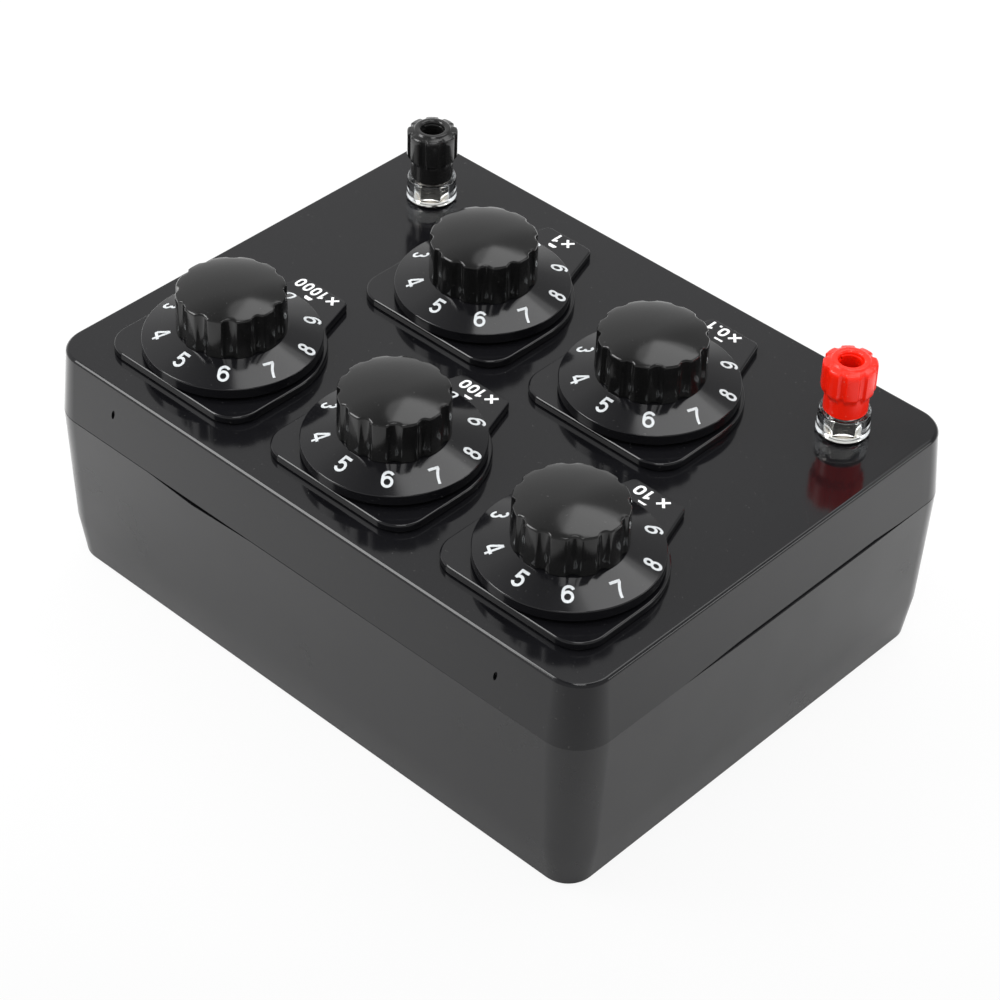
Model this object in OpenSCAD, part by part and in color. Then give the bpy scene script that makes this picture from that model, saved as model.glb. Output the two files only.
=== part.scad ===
// Five-decade resistance box: a moulded case and cover, five rotary decade
// switches under fluted knobs with numbered dials, and two binding posts.
// Millimetres. The origin is under the middle of the case, +Z is up, and the
// user sits on the -Y side, so the dials' pointers are on their -Y side.

/* [Case and cover] */
// Length of the cover's top face, along X
cover_l = 160; // [150:1:200]
// Width of the cover's top face, along Y
cover_w = 121; // [116:1:160]
// Height of the case and cover together
body_h = 59; // [56:1:90]
// Height of the cover's side walls, from its top face to the seam
cover_h = 16; // [12:1:20]
// Lean of the cover's walls, outwards from the top face to the seam
cover_lean = 1.4; // [0.5:0.1:2.5]
// Height of the lower, more tapered band of the case
band_h = 11.6; // [6:0.2:18]
// Lean of the case's walls, inwards from the seam to the band
case_lean = 1.2; // [0.4:0.1:2]
// Lean of the band's walls, inwards down to the bottom edge
band_lean = 1.7; // [0.5:0.1:3]
// Radius of the upright corners at the top face
corner_r = 8; // [6:0.5:12]
// Radius of the edge round the top face
edge_r = 0.8; // [0.4:0.1:1.2]
// Thickness of the walls
wall = 2.6; // [2:0.1:3.2]
// Thickness of the cover's top, which carries the switches and posts
roof = 3; // [2:0.1:4]
// Thickness of the case's bottom
floor_t = 2.6; // [2:0.1:4]
// Gap between the case and the cover at the seam
seam_gap = 0.15; // [0.05:0.05:0.4]
// Height of the lip that locates the cover on the case
lip_h = 3; // [2:0.2:5]
// Thickness of the lip
lip_t = 1.1; // [0.8:0.1:1.4]
// Clearance between the lip and the cover
lip_gap = 0.15; // [0.05:0.05:0.3]

/* [Case screws] */
// Distance from the middle of a corner's round to its screw, along X and Y
screw_inset = 2; // [0:0.5:4]
// Radius of the screw pillars
pillar_r = 4.6; // [4.2:0.2:6]
// Radius of the counterbore under each pillar
counterbore_r = 3.4; // [3.1:0.1:3.8]
// Radius of a screw's head
screw_head_r = 2.9; // [2.5:0.1:3]
// Radius of a screw's shank
screw_r = 1.45; // [1.2:0.05:1.6]
// Height of a screw's head
screw_head_h = 2; // [1.5:0.1:3]
// Length of a screw's shank
screw_l = 20; // [16:1:24]
// Height of the pillar's web, which the screw pulls on, above the bottom
screw_seat = 28; // [18:1:30]
// Height of the joint between a pillar and the cover's boss
pillar_top = 38; // [34:1:40]

/* [Panel layout] */
// Distance between neighbouring dials in a row, along X
dial_pitch = 50.6; // [48:0.1:56]
// Place of the row of three dials, along Y
back_row_y = 33.4; // [31:0.1:34]
// Place of the row of two dials, along Y
front_row_y = -20.6; // [-24:0.1:-19]
// Distance from a binding post to the end of the cover's top face, along X
post_end = 17.4; // [16.5:0.1:20]
// Distance from a binding post to the front of the cover's top face, along Y
post_front = 18.4; // [17.5:0.1:20.5]
// Set of the whole layout off the cover's middle, along X
layout_x = -1; // [-1.5:0.1:1.5]

/* [Plates] */
// Width of a plate, which is also the width of its round half
plate_w = 43; // [42:0.2:45]
// Set of a plate off its shaft, along X
plate_set = 0.5; // [0:0.1:0.8]
// Reach of a plate's square half behind the shaft
plate_back = 19.6; // [19.4:0.2:22]
// Thickness of a plate
plate_t = 2; // [1.5:0.1:3]
// Radius of the square half's corners
plate_corner_r = 7; // [4:0.5:9]
// Reach of the label tab in front of the shaft, on the row of three
tab_reach = 29.4; // [28:0.2:30.4]
// Reach of the label tab in front of the shaft, on the row of two
front_tab_reach = 30.4; // [29:0.2:31.4]
// Width of the label tab at its end, on the row of three
tab_w = 14.2; // [13:0.2:17]
// Width of the label tab where it leaves the round half
tab_root_w = 21.8; // [20:0.2:23]
// Radius of the label tab's corners
tab_corner_r = 1.6; // [0.8:0.2:2]
// Radius of the hollow between the label tab and the round half
tab_hollow_r = 3; // [1:0.5:4]

/* [Dials] */
// Radius of a dial
dial_r = 20.2; // [18:0.1:21]
// Height of a dial's rim
dial_rim_h = 2.6; // [2:0.1:3.5]
// Rise of a dial's slope from its rim to its knob
dial_rise = 2.4; // [1.8:0.1:3.4]
// Gap between a dial and its plate
dial_gap = 0.7; // [0.4:0.1:1.2]
// Thickness of a dial's shell
dial_wall = 1.5; // [1.2:0.1:2]

/* [Knobs] */
// Radius of a knob at its foot
knob_r = 12.45; // [11.5:0.05:14]
// Radius of a knob at its top edge
knob_top_r = 12.3; // [11:0.05:13.5]
// Height of a knob up to its top edge
knob_h = 9.8; // [8:0.2:14]
// Rise of a knob's crown above its top edge
knob_crown = 2; // [0.5:0.1:2.5]
// Radius of the edge round a knob's top
knob_edge_r = 0.4; // [0.3:0.1:1]
// Number of finger flutes round a knob
flutes = 12; // [8:1:16]
// Radius of a flute's scoop
flute_r = 2; // [1.8:0.1:3]
// Depth of a flute
flute_depth = 0.75; // [0.4:0.05:1]

/* [Shafts] */
// Radius of a switch shaft
shaft_r = 3; // [2.5:0.1:3.2]
// Radial clearance of a shaft that turns in its bush
shaft_play = 0.05; // [0.02:0.01:0.08]
// Depth of the flat on the shaft's end, under the knob
shaft_flat = 0.6; // [0.4:0.1:1]
// Length of shaft held in the knob
shaft_grip = 7; // [5:0.5:7.5]
// Length of shaft below the wafer
shaft_tail = 1; // [0.5:0.1:2]

/* [Switch frames] */
// Radius of a switch frame's threaded bush
bush_r = 4.5; // [4.2:0.1:5]
// Height of the bush above the cover
bush_rise = 5.1; // [4.6:0.1:5.3]
// Width of a bush nut across its flats
nut_w = 12; // [11:0.5:14]
// Thickness of a bush nut
nut_h = 2; // [1.6:0.1:2.4]
// Radius of the index housing that holds the click stop
index_r = 11; // [9:0.5:12]
// Height of the index housing under the cover
index_h = 7; // [5:0.5:9]
// Distance between a frame's two legs
leg_span = 35; // [34.2:0.2:37]
// Radius of a leg
leg_r = 1.9; // [1.6:0.1:2.2]
// Width of the arms that carry the legs
arm_w = 7; // [5:0.5:9]
// Thickness of the arms
arm_t = 2.4; // [1.6:0.2:3]
// Radius of the pegs that hold the wafer on the legs
peg_r = 1.1; // [0.8:0.1:1.4]
// Depth of the wafer's top below the cover's top
wafer_depth = 20; // [18:0.5:21]

/* [Wafers and contacts] */
// Thickness of a wafer
wafer_t = 2; // [1.4:0.2:2.6]
// Radius of a wafer's round middle
wafer_r = 15.6; // [15.2:0.2:16.4]
// Number of contact studs round a wafer
positions = 10; // [10:1:10]
// Radius of the ring of contact studs
stud_ring_r = 13; // [12.5:0.1:13.2]
// Radius of a contact stud's head
stud_head_r = 1.9; // [1.5:0.1:2.1]
// Height of a contact stud's head
stud_head_h = 1; // [0.6:0.1:1.4]
// Radius of a contact stud's shank
stud_shank_r = 0.9; // [0.7:0.1:1.1]
// Length of a contact stud's tail below the wafer
stud_tail = 3.5; // [3:0.1:4.5]
// Mean radius of the collector ring
collector_r = 6.4; // [6.2:0.1:6.8]
// Width of the collector ring
collector_w = 2.4; // [1.6:0.1:2.8]

/* [Wipers] */
// Radius of a wiper's hub
hub_r = 4.6; // [4.2:0.1:4.9]
// Height of a wiper's hub
hub_h = 3; // [2:0.1:4]
// Width of a wiper's blade
blade_w = 3; // [2:0.1:3.4]
// Thickness of a wiper's blade
blade_t = 0.5; // [0.4:0.1:0.8]
// Radius of the brushes under the blade
brush_r = 1.3; // [0.9:0.1:1.4]
// Height of the brushes
brush_h = 1.4; // [1:0.1:2]
// Running gap between a brush and the metal it sweeps
brush_gap = 0.1; // [0.05:0.05:0.2]

/* [Resistors and wiring] */
// Radius of a resistor's bobbin
bobbin_r = 1.5; // [1:0.1:1.6]
// Radius of a bobbin's end cheeks
cheek_r = 1.8; // [1.7:0.1:1.9]
// Length of a resistor between its leads
bobbin_l = 5.4; // [4.4:0.1:5.6]
// Thickness of a bobbin's end cheeks
cheek_t = 0.6; // [0.4:0.1:0.8]
// Radius of a resistor's leads
lead_r = 0.3; // [0.25:0.05:0.4]
// Depth of the resistors below the wafer
resistor_drop = 2.2; // [2:0.1:2.4]
// Radius of the hook-up wires
wire_r = 0.8; // [0.6:0.1:1]
// Depth of the wires' run below the studs' tails
wire_drop = 2.5; // [2:0.1:4]

/* [Binding posts] */
// Radius of a post's clear collar at its foot
collar_r = 6.05; // [5.6:0.05:6.6]
// Radius of a post's clear collar at its top
collar_top_r = 5.8; // [5.5:0.05:6.2]
// Height of a post's clear collar
collar_h = 6.2; // [4:0.1:8]
// Radius of the stud's flange inside the collar
flange_r = 4.3; // [4:0.1:4.6]
// Gap between the flange and the collar
flange_gap = 0.1; // [0.05:0.05:0.3]
// Outer radius of the stud's upper thread
stud_r = 2.6; // [2.5:0.05:2.8]
// Height of the stud above the cover
stud_h = 14.2; // [11:0.1:15]
// Radius of the plug socket down the stud
socket_r = 2; // [1.9:0.05:2.1]
// Depth of the plug socket
socket_depth = 11; // [8:0.5:12]
// Radius of the stud's lower thread, through the cover
stud_foot_r = 2.4; // [2:0.1:2.9]
// Length of the stud's lower thread below the cover's top
stud_foot_l = 9.5; // [8.6:0.1:12]
// Radial clearance between a cap's thread and its stud
cap_play = 0.05; // [0.02:0.01:0.08]
// Gap between a cap and its collar when screwed down
cap_gap = 0.1; // [0.05:0.05:0.3]
// Height of a cap
cap_h = 12.4; // [10:0.1:15]
// Radius of a cap's smooth foot
cap_foot_r = 5.15; // [5.1:0.05:5.5]
// Radius of a cap over its splines
cap_r = 6.05; // [5.7:0.05:6.5]
// Length of a cap's smooth foot
cap_foot_h = 6.4; // [4:0.1:8]
// Number of splines round a cap
splines = 8; // [6:1:10]
// Radius of a spline's back
spline_r = 1.4; // [1:0.1:1.8]
// Height of the bevel round a cap's top
bevel_h = 1; // [0.5:0.1:1.6]
// Radius of a cap's flat top
cap_top_r = 4.9; // [4:0.1:5.4]
// Width of the lead-in round a cap's hole
lead_in = 0.6; // [0.2:0.1:1]
// Outer radius of the clamp washer under a cap
washer_r = 4.6; // [4:0.1:4.8]
// Thickness of the clamp washer
washer_t = 0.6; // [0.4:0.1:1]
// Clearance round the clamp washer in its cap
washer_gap = 0.1; // [0.05:0.05:0.2]
// Width of a post's nut across its flats
post_nut_w = 8; // [7:0.5:9]
// Thickness of a post's nut
post_nut_h = 2.5; // [2:0.1:3.2]
// Thickness of a solder lug
lug_t = 0.6; // [0.4:0.1:0.8]
// Radius of a solder lug's ring
lug_r = 4.2; // [3.6:0.1:4.6]
// Reach of a solder lug from its post
lug_reach = 9; // [7:0.5:12]
// Width of a solder lug's tail
lug_w = 4; // [3:0.1:5]

/* [Hidden] */
$fn = 64;
corner_fn = 32;
seam_z = body_h - cover_h;
case_h = seam_z - seam_gap;
corner_x = cover_l / 2 - corner_r;
corner_y = cover_w / 2 - corner_r;
// Corner radii at the levels where the walls change their lean
seam_r = corner_r + cover_lean;
waist_r = seam_r - case_lean;
foot_r = waist_r - band_lean;
ceiling_z = body_h - roof;

DECADES = ["tenths", "units", "tens", "hundreds", "thousands"];
// Place of each decade in its row, counted in pitches from the row's middle
row_place = [-0.5, 0.5, -1, 0, 1];
row_y = [front_row_y, front_row_y, back_row_y, back_row_y, back_row_y];
function dial_x(k) = layout_x + row_place[k] * dial_pitch;
function dial_y(k) = row_y[k];

POSTS = ["red", "black"];
post_side = [-1, 1];
post_color = ["#e0261c", "#1c1c1e"];
post_y = post_front - cover_w / 2;
function post_x(k) = layout_x + post_side[k] * (cover_l / 2 - post_end);

// A label tab's side leaves the round half at the root and leans in to the end
plate_r = plate_w / 2;
tab_root_y = plate_r * 0.83;
tab_lean = atan((tab_root_w - tab_w) / 2 / (tab_reach - tab_root_y));
tab_out = [cos(tab_lean), -sin(tab_lean)];
tab_side = tab_out * [tab_root_w / 2, -tab_root_y];
function tab_corner_x(reach) =
    (tab_side - tab_corner_r - sin(tab_lean) * (reach - tab_corner_r)) / cos(tab_lean);
// Middle of the hollow, which touches the tab's side and the round half
hollow_run = sqrt(pow(plate_r + tab_hollow_r, 2) - pow(tab_side + tab_hollow_r, 2));
hollow = tab_out * (tab_side + tab_hollow_r) + [-sin(tab_lean), -cos(tab_lean)] * hollow_run;

// Levels on a decade, above the case's bottom
plate_top = body_h + plate_t;
dial_z = plate_top + dial_gap;
dial_h = dial_rim_h + dial_rise;
knob_z = dial_z + dial_h;
shaft_top = knob_z + shaft_grip;
wafer_z = body_h - wafer_depth;
stud_head_z = wafer_z + stud_head_h;
tail_z = wafer_z - wafer_t - stud_tail;
wire_z = tail_z - wire_drop;
blade_z = stud_head_z + brush_gap + brush_h;
bush_hole_r = bush_r + 0.1;
pointer_angle = -90;
function stud_angle(i) = pointer_angle + i * 360 / positions;

// Levels on a binding post
collar_top = body_h + collar_h;
cap_z = collar_top + cap_gap;
cap_hole_r = stud_r + cap_play;
stud_top = body_h + stud_h;
lug_z = ceiling_z - lug_t;

screw_x = corner_x - screw_inset;
screw_y = corner_y - screw_inset;
join_gap = 0.1;
eps = 0.01;

DECADE_PIECES = ["plate", "dial", "knob", "shaft", "switch_frame", "wafer", "contacts", "wiper",
    "resistors"];
POST_PIECES = ["cap", "clamp_washer", "collar", "stud"];

// Draws its children at the shaft of decade k, at height z
module at_dial(k, z = 0) translate([dial_x(k), dial_y(k), z]) children();

// Draws its children on the axis of post k, at height z
module at_post(k, z = 0) translate([post_x(k), post_y, z]) children();

// Draws its children at the four case screws
module at_screws() {
    for (x = [-1, 1], y = [-1, 1]) translate([x * screw_x, y * screw_y, 0]) children();
}

// A box with leaning walls: one cone at each corner, all on the same upright axes
module leaning_box(z0, r0, z1, r1) {
    hull() for (x = [-1, 1], y = [-1, 1]) translate([x * corner_x, y * corner_y, z0])
        cylinder(h = z1 - z0, r1 = r0, r2 = r1, $fn = corner_fn);
}

// The cover's outer form, with the edge round its top face
module cover_form() {
    hull() for (x = [-1, 1], y = [-1, 1]) translate([x * corner_x, y * corner_y, seam_z]) {
        cylinder(h = cover_h - edge_r, r1 = seam_r, r2 = corner_r, $fn = corner_fn);
        for (a = [0 : 22.5 : 67.5]) cylinder(
            h = cover_h - edge_r + edge_r * sin(a + 22.5),
            r = corner_r - edge_r + edge_r * cos(a + 22.5), $fn = corner_fn);
    }
}

module base_case() color("#3a3a3c") difference() {
    union() {
        difference() {
            union() {
                leaning_box(0, foot_r, band_h, waist_r);
                leaning_box(band_h - eps, waist_r, case_h, seam_r);
            }
            leaning_box(floor_t, foot_r - wall, band_h, waist_r - wall);
            leaning_box(band_h - eps, waist_r - wall, case_h + eps, seam_r - wall);
        }
        difference() {
            leaning_box(case_h - lip_h, seam_r - wall + lip_t, case_h + lip_h, seam_r - wall + lip_t);
            leaning_box(case_h - lip_h - eps, seam_r - wall - eps, case_h + lip_h + eps,
                seam_r - wall - eps);
        }
        at_screws() translate([0, 0, eps]) cylinder(h = pillar_top - eps, r = pillar_r);
    }
    at_screws() {
        translate([0, 0, -eps]) cylinder(h = screw_seat + eps, r = counterbore_r);
        cylinder(h = body_h, r = screw_r + join_gap);
    }
}

module top_cover() color("#2c2c2e") difference() {
    union() {
        difference() {
            cover_form();
            leaning_box(seam_z - eps, seam_r - wall, ceiling_z,
                corner_r - wall + cover_lean * roof / cover_h);
            leaning_box(seam_z - eps, seam_r - wall + lip_t + lip_gap, seam_z + lip_h + lip_gap,
                seam_r - wall + lip_t + lip_gap);
        }
        at_screws() translate([0, 0, pillar_top])
            cylinder(h = ceiling_z - pillar_top + eps, r = pillar_r - 0.4);
    }
    for (k = [0 : len(DECADES) - 1]) at_dial(k) cylinder(h = body_h + 1, r = bush_hole_r);
    for (k = [0 : len(POSTS) - 1]) at_post(k) cylinder(h = body_h + 1, r = stud_foot_r + join_gap);
    at_screws() cylinder(h = screw_seat + screw_l + 1, r = screw_r + join_gap / 2);
}

module case_screws() color("silver") at_screws() translate([0, 0, screw_seat]) {
    difference() {
        translate([0, 0, -screw_head_h]) cylinder(h = screw_head_h, r = screw_head_r);
        for (a = [0, 90]) rotate(a)
            translate([-screw_head_r * 0.6, -0.4, -screw_head_h - eps]) cube([screw_head_r * 1.2, 0.8, 1]);
    }
    cylinder(h = screw_l, r = screw_r);
}

// Outline of a plate: a square half behind, a round half in front, and the label
// tab with its rounded corners and the hollows where it leaves the round half
module plate_outline(reach) {
    translate([plate_corner_r - plate_r, 0]) square([plate_w - 2 * plate_corner_r, plate_back]);
    translate([-plate_r, 0]) square([plate_w, plate_back - plate_corner_r]);
    for (s = [-1, 1]) translate([s * (plate_r - plate_corner_r), plate_back - plate_corner_r])
        circle(plate_corner_r);
    intersection() {
        circle(plate_r, $fn = 128);
        translate([-plate_r, -plate_r]) square([plate_w, plate_r + 1]);
    }
    hull() {
        translate([-tab_root_w / 2, -tab_root_y]) square([tab_root_w, eps]);
        for (s = [-1, 1]) translate([s * tab_corner_x(reach), tab_corner_r - reach])
            circle(tab_corner_r);
    }
    for (s = [0, 1]) mirror([s, 0]) difference() {
        polygon([[0, -tab_root_y], hollow * plate_r / (plate_r + tab_hollow_r), hollow,
            hollow - tab_hollow_r * tab_out]);
        translate(hollow) circle(tab_hollow_r);
    }
}

module plate(k) color("#202022") difference() {
    translate([plate_set, 0, body_h]) linear_extrude(plate_t)
        plate_outline(row_y[k] == back_row_y ? tab_reach : front_tab_reach);
    translate([0, 0, body_h - 1]) cylinder(h = plate_t + 2, r = bush_hole_r);
}

// A numbered dial: a thin shell with an upright rim and a slope up to the knob
module dial() color("#1a1a1c") translate([0, 0, dial_z]) rotate_extrude($fn = 128) {
    edge = 0.3;
    slope = dial_rise / (dial_r - knob_r);
    web_z = dial_h - dial_wall;
    polygon(concat(
        [[dial_r - dial_wall, 0], [dial_r, 0]],
        [for (a = [0 : 30 : 90]) [dial_r - edge + edge * cos(a), dial_rim_h - edge + edge * sin(a)]],
        [[knob_r, dial_h], [shaft_r + join_gap, dial_h], [shaft_r + join_gap, web_z],
            [knob_r - 1, web_z], [dial_r - dial_wall, web_z - slope * (dial_r - dial_wall - knob_r + 1)]]));
}

// Half section of a knob before its flutes are cut: a tapered side, a small
// round at the top edge and a crown over the rest
function knob_section() = concat(
    [[0, 0], [knob_r, 0]],
    [for (a = [0 : 22.5 : 90]) [knob_top_r - knob_edge_r + knob_edge_r * cos(a),
        knob_h - knob_edge_r + knob_edge_r * sin(a)]],
    [for (t = [0.8 : -0.2 : 0]) [(knob_top_r - knob_edge_r) * t, knob_h + knob_crown * (1 - t * t)]]);

module knob() color("#161618") translate([0, 0, knob_z]) difference() {
    rotate_extrude($fn = 96) polygon(knob_section());
    for (i = [0 : flutes - 1]) rotate((i + 0.5) * 360 / flutes)
        translate([knob_r - flute_depth + flute_r, 0, 0])
            rotate([0, -atan((knob_r - knob_top_r) / knob_h), 0])
                translate([0, 0, -1]) cylinder(h = knob_h + knob_crown + 2, r = flute_r);
    translate([0, 0, -eps]) shaft_end(shaft_grip + eps, shaft_r);
}

// The flatted end of a shaft, which the knob's bore repeats
module shaft_end(h, r) difference() {
    cylinder(h = h, r = r);
    translate([-r, r - shaft_flat, -1]) cube([2 * r, r, h + 2]);
}

module shaft() color("silver") union() {
    translate([0, 0, wafer_z - wafer_t - shaft_tail])
        cylinder(h = knob_z - wafer_z + wafer_t + shaft_tail, r = shaft_r);
    translate([0, 0, knob_z - eps]) shaft_end(shaft_grip + eps, shaft_r);
}

// A moulded frame: the threaded bush, the index housing, and two legs down to the wafer
module switch_frame() color("#d8d2c0") difference() {
    union() {
        translate([0, 0, ceiling_z - index_h]) cylinder(h = index_h, r = index_r);
        translate([0, 0, ceiling_z - eps]) cylinder(h = body_h + bush_rise - ceiling_z + eps, r = bush_r);
        translate([-leg_span / 2, -arm_w / 2, ceiling_z - arm_t]) cube([leg_span, arm_w, arm_t]);
        for (s = [-1, 1]) translate([s * leg_span / 2, 0, 0]) {
            translate([0, 0, ceiling_z - arm_t]) cylinder(h = arm_t, r = arm_w / 2);
            translate([0, 0, wafer_z]) cylinder(h = ceiling_z - arm_t - wafer_z + eps, r = leg_r);
            translate([0, 0, wafer_z - wafer_t - 0.5]) cylinder(h = wafer_t + 1, r = peg_r);
        }
    }
    cylinder(h = body_h + bush_rise + 1, r = shaft_r + shaft_play);
}

module wafer() color("#6b3f22") translate([0, 0, wafer_z - wafer_t]) difference() {
    linear_extrude(wafer_t) {
        circle(wafer_r, $fn = 96);
        square([leg_span, arm_w], center = true);
        for (s = [-1, 1]) translate([s * leg_span / 2, 0]) circle(arm_w / 2);
    }
    translate([0, 0, -1]) {
        cylinder(h = wafer_t + 2, r = shaft_r + shaft_play);
        for (i = [0 : positions - 1]) rotate(stud_angle(i)) translate([stud_ring_r, 0, 0])
            cylinder(h = wafer_t + 2, r = stud_shank_r);
        rotate(-pointer_angle) translate([collector_r, 0, 0]) cylinder(h = wafer_t + 2, r = stud_shank_r);
        for (s = [-1, 1]) translate([s * leg_span / 2, 0, 0]) cylinder(h = wafer_t + 2, r = peg_r);
    }
}

// Shank and tail of a contact, down through the wafer
module contact_tail() translate([0, 0, tail_z])
    cylinder(h = wafer_z - tail_z + eps, r = stud_shank_r);

module contacts() color("#c9a24a") {
    for (i = [0 : positions - 1]) rotate(stud_angle(i)) translate([stud_ring_r, 0, 0]) {
        translate([0, 0, wafer_z]) cylinder(h = stud_head_h, r = stud_head_r);
        contact_tail();
    }
    difference() {
        translate([0, 0, wafer_z]) cylinder(h = stud_head_h, r = collector_r + collector_w / 2);
        translate([0, 0, wafer_z - 1]) cylinder(h = stud_head_h + 2, r = collector_r - collector_w / 2);
    }
    rotate(-pointer_angle) translate([collector_r, 0, 0]) contact_tail();
}

module wiper() color("#b8763a") difference() {
    union() {
        translate([0, 0, blade_z]) cylinder(h = hub_h, r = hub_r);
        rotate(pointer_angle) {
            translate([0, -blade_w / 2, blade_z]) cube([stud_ring_r, blade_w, blade_t]);
            translate([stud_ring_r, 0, blade_z]) cylinder(h = blade_t, r = blade_w / 2);
            for (r = [collector_r, stud_ring_r])
                translate([r, 0, stud_head_z + brush_gap]) cylinder(h = brush_h + eps, r = brush_r);
        }
    }
    translate([0, 0, blade_z - 1]) cylinder(h = hub_h + 2, r = shaft_r);
}

// A wound resistor between each two neighbouring contact tails
module resistors() color("#2e6b45") {
    half_step = 180 / positions;
    half_gap = stud_ring_r * sin(half_step) - stud_shank_r - join_gap;
    for (i = [0 : positions - 2]) rotate(stud_angle(i + 0.5))
        translate([stud_ring_r * cos(half_step), 0, wafer_z - wafer_t - resistor_drop]) rotate([90, 0, 0]) {
            cylinder(h = bobbin_l, r = bobbin_r, center = true);
            for (s = [-1, 1]) translate([0, 0, s * (bobbin_l - cheek_t) / 2])
                cylinder(h = cheek_t, r = cheek_r, center = true);
            cylinder(h = 2 * half_gap, r = lead_r, center = true);
        }
}

module bush_nuts() color("silver") for (k = [0 : len(DECADES) - 1]) at_dial(k, plate_top) difference() {
    cylinder(h = nut_h, r = nut_w / sqrt(3), $fn = 6);
    translate([0, 0, -1]) cylinder(h = nut_h + 2, r = bush_r);
}

// A straight piece of wire from point a to point b
module wire_piece(a, b) {
    v = b - a;
    translate(a) rotate([0, acos(v.z / norm(v)), atan2(v.y, v.x)])
        cylinder(h = norm(v), r = wire_r, $fn = 32);
}

// A wire along a list of points, rounded at its bends
module wire(points) {
    for (i = [0 : len(points) - 2]) wire_piece(points[i], points[i + 1]);
    for (i = [1 : len(points) - 2]) translate(points[i]) sphere(wire_r * 1.03, $fn = 32);
}

function first_stud(k) = [dial_x(k), dial_y(k) - stud_ring_r];
function collector_tail(k) = [dial_x(k), dial_y(k) + collector_r];
function lug_end(k) = [post_x(k) - post_side[k] * (lug_reach - lug_w / 2), post_y];
function over(p, z) = [p.x, p.y, z];

// The decades stand in series between the two posts
module wiring() color("#b02018") {
    soldered_z = tail_z - join_gap;
    lug_joint_z = lug_z - join_gap;
    last = len(DECADES) - 1;
    wire([over(lug_end(0), lug_joint_z), over(lug_end(0), wire_z), over(first_stud(0), wire_z),
        over(first_stud(0), soldered_z)]);
    for (k = [0 : last - 1]) wire([over(collector_tail(k), soldered_z), over(collector_tail(k), wire_z),
        over(first_stud(k + 1), wire_z), over(first_stud(k + 1), soldered_z)]);
    wire([over(collector_tail(last), soldered_z), over(collector_tail(last), wire_z),
        [corner_x, back_row_y, wire_z], [corner_x, post_y + 2 * collar_r, wire_z],
        over(lug_end(1), wire_z), over(lug_end(1), lug_joint_z)]);
}

// A cap's outline at full height: a round core with rounded splines
module spline_outline() {
    circle(cap_foot_r);
    for (i = [0 : splines - 1]) rotate(i * 360 / splines)
        translate([cap_r - spline_r, 0]) circle(spline_r, $fn = 32);
}

module cap(k) color(post_color[k]) translate([0, 0, cap_z]) difference() {
    intersection() {
        union() {
            cylinder(h = cap_foot_h + eps, r = cap_foot_r);
            translate([0, 0, cap_foot_h]) linear_extrude(cap_h - cap_foot_h) spline_outline();
        }
        rotate_extrude($fn = 96) polygon([[0, 0], [cap_r, 0], [cap_r, cap_h - bevel_h], [cap_top_r, cap_h],
            [0, cap_h]]);
    }
    translate([0, 0, -1]) cylinder(h = cap_h + 2, r = cap_hole_r);
    translate([0, 0, cap_h - lead_in]) cylinder(h = lead_in + eps, r1 = cap_hole_r, r2 = cap_hole_r + lead_in);
    translate([0, 0, -1]) cylinder(h = washer_t + washer_gap + 1, r = washer_r + washer_gap);
}

module clamp_washer() color("silver") translate([0, 0, cap_z]) difference() {
    cylinder(h = washer_t, r = washer_r);
    translate([0, 0, -1]) cylinder(h = washer_t + 2, r = cap_hole_r);
}

module collar() color("#e8eef2", 0.5) translate([0, 0, body_h]) difference() {
    cylinder(h = collar_h, r1 = collar_r, r2 = collar_top_r);
    translate([0, 0, -1]) cylinder(h = collar_h + 2, r = flange_r + flange_gap);
}

module stud() color("#d9d4c8") difference() {
    union() {
        translate([0, 0, body_h - stud_foot_l]) cylinder(h = stud_foot_l + eps, r = stud_foot_r);
        translate([0, 0, body_h]) cylinder(h = collar_h, r = flange_r);
        translate([0, 0, collar_top - eps]) cylinder(h = stud_h - collar_h + eps, r = stud_r);
    }
    translate([0, 0, stud_top - socket_depth]) cylinder(h = socket_depth + 1, r = socket_r);
}

module post_nuts() color("silver")
    for (k = [0 : len(POSTS) - 1]) at_post(k, lug_z - post_nut_h) difference() {
    cylinder(h = post_nut_h, r = post_nut_w / sqrt(3), $fn = 6);
    translate([0, 0, -1]) cylinder(h = post_nut_h + 2, r = stud_foot_r);
}

module solder_lugs() color("#c9a24a") for (k = [0 : len(POSTS) - 1]) at_post(k, lug_z) difference() {
    linear_extrude(lug_t) {
        circle(lug_r);
        translate([post_side[k] > 0 ? -lug_reach : 0, -lug_w / 2]) square([lug_reach, lug_w]);
    }
    translate([0, 0, -1]) cylinder(h = lug_t + 2, r = stud_foot_r);
}

base_case();
top_cover();
case_screws();
bush_nuts();
post_nuts();
solder_lugs();
wiring();
for (k = [0 : len(DECADES) - 1]) {
    at_dial(k) plate(k);
    at_dial(k) dial();
    at_dial(k) knob();
    at_dial(k) shaft();
    at_dial(k) switch_frame();
    at_dial(k) wafer();
    at_dial(k) contacts();
    at_dial(k) wiper();
    at_dial(k) resistors();
}
for (k = [0 : len(POSTS) - 1]) {
    at_post(k) cap(k);
    at_post(k) clamp_washer();
    at_post(k) collar();
    at_post(k) stud();
}
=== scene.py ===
"""Looks for the five-decade resistance box: a glossy moulded case and cover, fluted knobs over
numbered dials, label plates with their multipliers, and two binding posts with clear collars.

Every size is in millimetres until it goes into a mesh, and every place is in the CAD's frame.
"""

import math

import bpy
from mathutils import Matrix, Vector


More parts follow.
